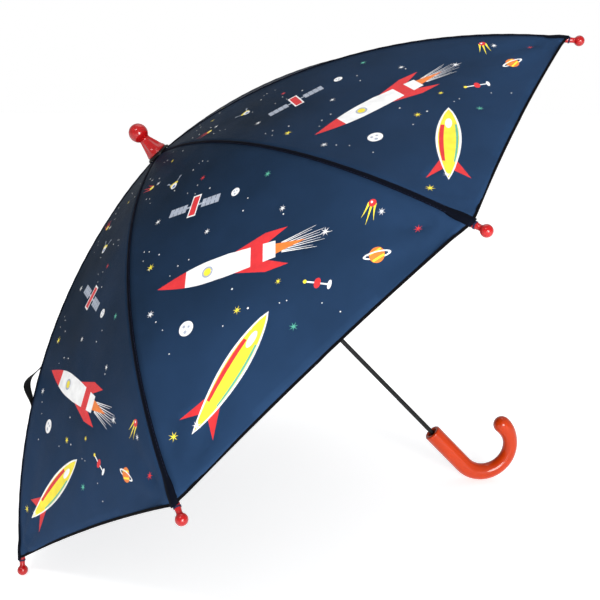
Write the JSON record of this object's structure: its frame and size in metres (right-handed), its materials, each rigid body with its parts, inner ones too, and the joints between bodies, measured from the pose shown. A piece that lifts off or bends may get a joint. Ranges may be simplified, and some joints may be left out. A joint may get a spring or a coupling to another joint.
{
  "type": "children's umbrella",
  "caption": "Open children's stick umbrella with a curved hook handle, sprung catches on a tubular shaft, hinged ribs and stretchers on a sliding runner, and a printed cloth canopy.",
  "frame": {"origin": "on the shaft's axis at the middle of the handle's straight grip", "axes": "+Z along the shaft towards the ferrule, +X towards the open side of the handle's hook"},
  "size_m": [0.7618, 0.7618, 0.6088],
  "materials": {
    "shaft_enamel": "gloss",
    "handle_plastic": "gloss",
    "red_plastic": "gloss",
    "black_plastic": "satin",
    "rib_steel": "satin",
    "bright_steel": "satin",
    "canopy_cloth": "satin",
    "strap_webbing": "matte"
  },
  "bodies": {
    "shaft": {"shaft": "shaft_enamel", "handle": "handle_plastic", "ferrule": "red_plastic", "crown_washer": "black_plastic", "top_notch": "black_plastic", "notch_wire": "bright_steel", "runner_stop": "shaft_enamel"},
    "rib_1": {"rib_1": "rib_steel", "tip_1": "red_plastic"},
    "rib_2": {"rib_2": "rib_steel", "tip_2": "red_plastic"},
    "rib_3": {"rib_3": "rib_steel", "tip_3": "red_plastic"},
    "rib_4": {"rib_4": "rib_steel", "tip_4": "red_plastic"},
    "rib_5": {"rib_5": "rib_steel", "tip_5": "red_plastic", "closure_strap": "strap_webbing", "strap_patch": "strap_webbing"},
    "rib_6": {"rib_6": "rib_steel", "tip_6": "red_plastic"},
    "rib_7": {"rib_7": "rib_steel", "tip_7": "red_plastic"},
    "rib_8": {"rib_8": "rib_steel", "tip_8": "red_plastic"},
    "stretcher_1": {"stretcher_1": "rib_steel", "rib_pin_1": "bright_steel"},
    "stretcher_2": {"stretcher_2": "rib_steel", "rib_pin_2": "bright_steel"},
    "stretcher_3": {"stretcher_3": "rib_steel", "rib_pin_3": "bright_steel"},
    "stretcher_4": {"stretcher_4": "rib_steel", "rib_pin_4": "bright_steel"},
    "stretcher_5": {"stretcher_5": "rib_steel", "rib_pin_5": "bright_steel"},
    "stretcher_6": {"stretcher_6": "rib_steel", "rib_pin_6": "bright_steel"},
    "stretcher_7": {"stretcher_7": "rib_steel", "rib_pin_7": "bright_steel"},
    "stretcher_8": {"stretcher_8": "rib_steel", "rib_pin_8": "bright_steel"},
    "runner": {"runner": "black_plastic", "runner_wire": "bright_steel"},
    "panel_1": {"panel_1": "canopy_cloth"},
    "panel_2": {"panel_2": "canopy_cloth"},
    "panel_3": {"panel_3": "canopy_cloth"},
    "panel_4": {"panel_4": "canopy_cloth"},
    "panel_5": {"panel_5": "canopy_cloth"},
    "panel_6": {"panel_6": "canopy_cloth"},
    "panel_7": {"panel_7": "canopy_cloth"},
    "panel_8": {"panel_8": "canopy_cloth"},
    "top_catch": {"top_catch": "bright_steel"},
    "bottom_catch": {"bottom_catch": "bright_steel"}
  },
  "joints": [
    {"name": "rib_1_hinge", "type": "hinge", "parent": "shaft", "child": "rib_1", "pos_m": [0.00739, 0.00306, 0.4905], "axis": [-0.3827, 0.9239, 0], "range_deg": [0, 63.5], "deforming": ["panel_1", "panel_2", "panel_3", "panel_4", "panel_5", "panel_6", "panel_7", "panel_8", "top_catch", "bottom_catch"]},
    {"name": "rib_2_hinge", "type": "hinge", "parent": "shaft", "child": "rib_2", "pos_m": [0.00306, 0.00739, 0.4905], "axis": [-0.9239, 0.3827, 0], "range_deg": [0, 63.5]},
    {"name": "rib_3_hinge", "type": "hinge", "parent": "shaft", "child": "rib_3", "pos_m": [-0.00306, 0.00739, 0.4905], "axis": [-0.9239, -0.3827, 0], "range_deg": [0, 63.5]},
    {"name": "rib_4_hinge", "type": "hinge", "parent": "shaft", "child": "rib_4", "pos_m": [-0.00739, 0.00306, 0.4905], "axis": [-0.3827, -0.9239, 0], "range_deg": [0, 63.5]},
    {"name": "rib_5_hinge", "type": "hinge", "parent": "shaft", "child": "rib_5", "pos_m": [-0.00739, -0.00306, 0.4905], "axis": [0.3827, -0.9239, 0], "range_deg": [0, 63.5]},
    {"name": "rib_6_hinge", "type": "hinge", "parent": "shaft", "child": "rib_6", "pos_m": [-0.00306, -0.00739, 0.4905], "axis": [0.9239, -0.3827, 0], "range_deg": [0, 63.5]},
    {"name": "rib_7_hinge", "type": "hinge", "parent": "shaft", "child": "rib_7", "pos_m": [0.00306, -0.00739, 0.4905], "axis": [0.9239, 0.3827, 0], "range_deg": [0, 63.5]},
    {"name": "rib_8_hinge", "type": "hinge", "parent": "shaft", "child": "rib_8", "pos_m": [0.00739, -0.00306, 0.4905], "axis": [0.3827, 0.9239, 0], "range_deg": [0, 63.5]},
    {"name": "stretcher_1_hinge", "type": "hinge", "parent": "rib_1", "child": "stretcher_1", "pos_m": [0.1732, 0.07174, 0.4497], "axis": [-0.3827, 0.9239, 0], "range_deg": [-127, 0]},
    {"name": "stretcher_2_hinge", "type": "hinge", "parent": "rib_2", "child": "stretcher_2", "pos_m": [0.07174, 0.1732, 0.4497], "axis": [-0.9239, 0.3827, 0], "range_deg": [-127, 0]},
    {"name": "stretcher_3_hinge", "type": "hinge", "parent": "rib_3", "child": "stretcher_3", "pos_m": [-0.07174, 0.1732, 0.4497], "axis": [-0.9239, -0.3827, 0], "range_deg": [-127, 0]},
    {"name": "stretcher_4_hinge", "type": "hinge", "parent": "rib_4", "child": "stretcher_4", "pos_m": [-0.1732, 0.07174, 0.4497], "axis": [-0.3827, -0.9239, 0], "range_deg": [-127, 0]},
    {"name": "stretcher_5_hinge", "type": "hinge", "parent": "rib_5", "child": "stretcher_5", "pos_m": [-0.1732, -0.07174, 0.4497], "axis": [0.3827, -0.9239, 0], "range_deg": [-127, 0]},
    {"name": "stretcher_6_hinge", "type": "hinge", "parent": "rib_6", "child": "stretcher_6", "pos_m": [-0.07174, -0.1732, 0.4497], "axis": [0.9239, -0.3827, 0], "range_deg": [-127, 0]},
    {"name": "stretcher_7_hinge", "type": "hinge", "parent": "rib_7", "child": "stretcher_7", "pos_m": [0.07174, -0.1732, 0.4497], "axis": [0.9239, 0.3827, 0], "range_deg": [-127, 0]},
    {"name": "stretcher_8_hinge", "type": "hinge", "parent": "rib_8", "child": "stretcher_8", "pos_m": [0.1732, -0.07174, 0.4497], "axis": [0.3827, 0.9239, 0], "range_deg": [-127, 0]},
    {"name": "runner_hinge", "type": "hinge", "parent": "stretcher_1", "child": "runner", "pos_m": [0.00739, 0.00306, 0.40889], "axis": [-0.3827, 0.9239, 0], "range_deg": [0, 63.5]},
    {"name": "panel_1_fold", "type": "hinge", "parent": "shaft", "child": "panel_1", "pos_m": [0.00612, 0.00612, 0.4905], "axis": [-0.7071, 0.7071, 0], "range_deg": [0, 62]},
    {"name": "panel_2_fold", "type": "hinge", "parent": "shaft", "child": "panel_2", "pos_m": [0, 0.00866, 0.4905], "axis": [-1, 0, 0], "range_deg": [0, 62]},
    {"name": "panel_3_fold", "type": "hinge", "parent": "shaft", "child": "panel_3", "pos_m": [-0.00612, 0.00612, 0.4905], "axis": [-0.7071, -0.7071, 0], "range_deg": [0, 62]},
    {"name": "panel_4_fold", "type": "hinge", "parent": "shaft", "child": "panel_4", "pos_m": [-0.00866, 0, 0.4905], "axis": [0, -1, 0], "range_deg": [0, 62]},
    {"name": "panel_5_fold", "type": "hinge", "parent": "shaft", "child": "panel_5", "pos_m": [-0.00612, -0.00612, 0.4905], "axis": [0.7071, -0.7071, 0], "range_deg": [0, 62]},
    {"name": "panel_6_fold", "type": "hinge", "parent": "shaft", "child": "panel_6", "pos_m": [0, -0.00866, 0.4905], "axis": [1, 0, 0], "range_deg": [0, 62]},
    {"name": "panel_7_fold", "type": "hinge", "parent": "shaft", "child": "panel_7", "pos_m": [0.00612, -0.00612, 0.4905], "axis": [0.7071, 0.7071, 0], "range_deg": [0, 62]},
    {"name": "panel_8_fold", "type": "hinge", "parent": "shaft", "child": "panel_8", "pos_m": [0.00866, 0, 0.4905], "axis": [0, 1, 0], "range_deg": [0, 62]},
    {"name": "top_catch_press", "type": "hinge", "parent": "shaft", "child": "top_catch", "pos_m": [-0.0015, 0, 0.34149], "axis": [0, 1, 0], "range_deg": [0, 6.5], "stiffness_Nm_per_rad": 0.08},
    {"name": "bottom_catch_press", "type": "hinge", "parent": "shaft", "child": "bottom_catch", "pos_m": [-0.0015, 0, 0.07936], "axis": [0, 1, 0], "range_deg": [0, 6.5], "stiffness_Nm_per_rad": 0.08}
  ],
  "couplings": [
    {"joint": "rib_2_hinge", "follows": "rib_1_hinge", "ratio": 1},
    {"joint": "rib_3_hinge", "follows": "rib_1_hinge", "ratio": 1},
    {"joint": "rib_4_hinge", "follows": "rib_1_hinge", "ratio": 1},
    {"joint": "rib_5_hinge", "follows": "rib_1_hinge", "ratio": 1},
    {"joint": "rib_6_hinge", "follows": "rib_1_hinge", "ratio": 1},
    {"joint": "rib_7_hinge", "follows": "rib_1_hinge", "ratio": 1},
    {"joint": "rib_8_hinge", "follows": "rib_1_hinge", "ratio": 1},
    {"joint": "stretcher_1_hinge", "follows": "rib_1_hinge", "ratio": -2},
    {"joint": "stretcher_2_hinge", "follows": "rib_1_hinge", "ratio": -2},
    {"joint": "stretcher_3_hinge", "follows": "rib_1_hinge", "ratio": -2},
    {"joint": "stretcher_4_hinge", "follows": "rib_1_hinge", "ratio": -2},
    {"joint": "stretcher_5_hinge", "follows": "rib_1_hinge", "ratio": -2},
    {"joint": "stretcher_6_hinge", "follows": "rib_1_hinge", "ratio": -2},
    {"joint": "stretcher_7_hinge", "follows": "rib_1_hinge", "ratio": -2},
    {"joint": "stretcher_8_hinge", "follows": "rib_1_hinge", "ratio": -2},
    {"joint": "runner_hinge", "follows": "rib_1_hinge", "ratio": 1},
    {"joint": "panel_1_fold", "follows": "rib_1_hinge", "ratio": 0.97638},
    {"joint": "panel_2_fold", "follows": "rib_1_hinge", "ratio": 0.97638},
    {"joint": "panel_3_fold", "follows": "rib_1_hinge", "ratio": 0.97638},
    {"joint": "panel_4_fold", "follows": "rib_1_hinge", "ratio": 0.97638},
    {"joint": "panel_5_fold", "follows": "rib_1_hinge", "ratio": 0.97638},
    {"joint": "panel_6_fold", "follows": "rib_1_hinge", "ratio": 0.97638},
    {"joint": "panel_7_fold", "follows": "rib_1_hinge", "ratio": 0.97638},
    {"joint": "panel_8_fold", "follows": "rib_1_hinge", "ratio": 0.97638}
  ]
}
